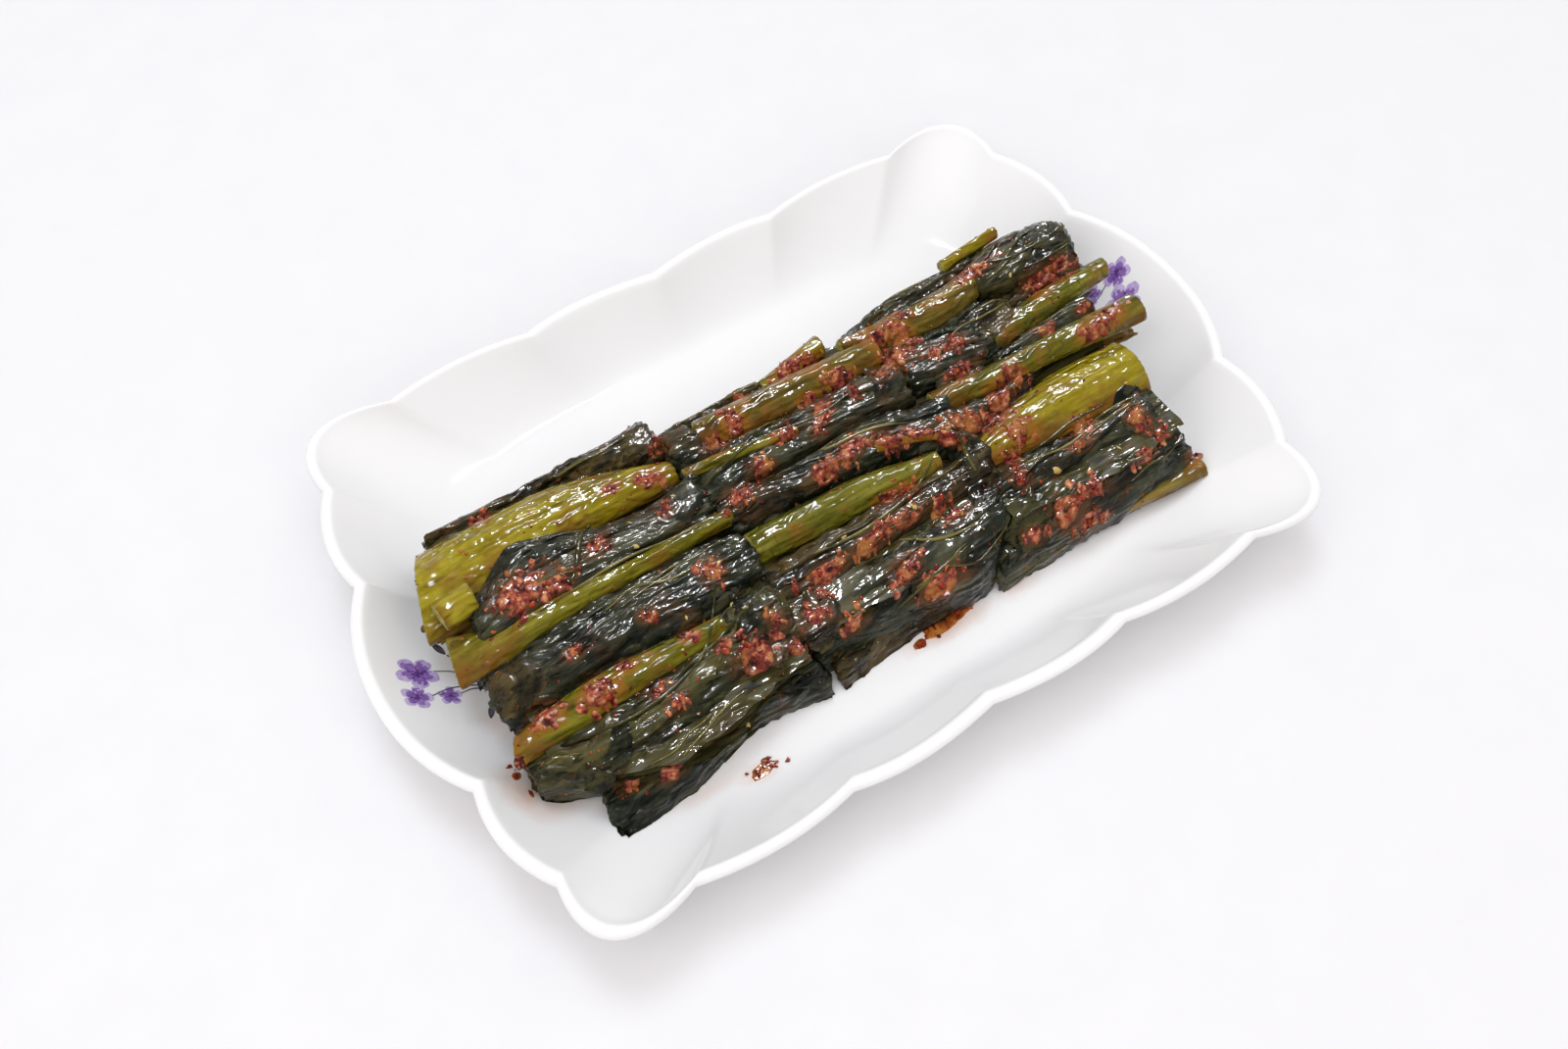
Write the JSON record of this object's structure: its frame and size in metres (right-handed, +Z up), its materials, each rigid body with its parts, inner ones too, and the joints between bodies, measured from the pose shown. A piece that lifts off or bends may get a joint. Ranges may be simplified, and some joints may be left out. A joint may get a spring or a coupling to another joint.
{
  "type": "dish of mustard leaf kimchi",
  "caption": "Shallow scalloped porcelain dish holding pickled mustard leaf kimchi, its stalks and leaves laid side by side in stacks along the dish.",
  "frame": {"origin": "on the table under the centre of the dish", "axes": "+X along the dish's long side, +Y towards its back long side, +Z up"},
  "size_m": [0.225, 0.1502, 0.0327],
  "materials": {
    "porcelain": "glossy",
    "stalk_pale": "glossy",
    "stalk_green": "glossy",
    "stalk_olive": "glossy",
    "leaf_dark": "glossy",
    "leaf_green": "glossy",
    "leaf_brown": "glossy",
    "leaf_core": "glossy"
  },
  "bodies": {
    "root": {"dish": "porcelain", "stub_left": "stalk_pale", "leaf_left_upper": "leaf_dark", "stalk_left_wide": "stalk_pale", "stalk_left_mid": "stalk_green", "stalk_left_front": "stalk_green", "leaf_left_mid": "leaf_dark", "leaf_left_front": "leaf_green", "leaf_left_rim": "leaf_dark", "leaf_left_back": "leaf_brown", "leaf_left_low": "leaf_brown", "stem_mid_front": "stalk_green", "stem_mid_thin": "stalk_green", "leaf_mid_end": "leaf_dark", "stalk_mid_wide": "stalk_olive", "leaf_mid_upper": "leaf_dark", "stalk_mid_short": "stalk_green", "leaf_mid_centre": "leaf_dark", "leaf_mid_lower": "leaf_brown", "leaf_mid_front": "leaf_dark", "stalk_mid_tip": "stalk_pale", "leaf_mid_rim": "leaf_brown", "leaf_mid_back": "leaf_brown", "leaf_right_back": "leaf_green", "stalk_right_back": "stalk_olive", "stalk_right_tip": "stalk_green", "leaf_right_end": "leaf_brown", "leaf_right_upper": "leaf_dark", "stalk_right_mid": "stalk_olive", "leaf_right_mid": "leaf_dark", "stalk_right_wide": "stalk_pale", "leaf_right_paste": "leaf_brown", "leaf_right_front": "leaf_dark", "leaf_right_lower": "leaf_dark", "stalk_right_rim": "stalk_olive", "stalk_right_tip_back": "stalk_pale", "leaf_right_far": "leaf_dark", "core_left": "leaf_core", "core_middle": "leaf_core", "core_right": "leaf_core"}
  },
  "joints": []
}
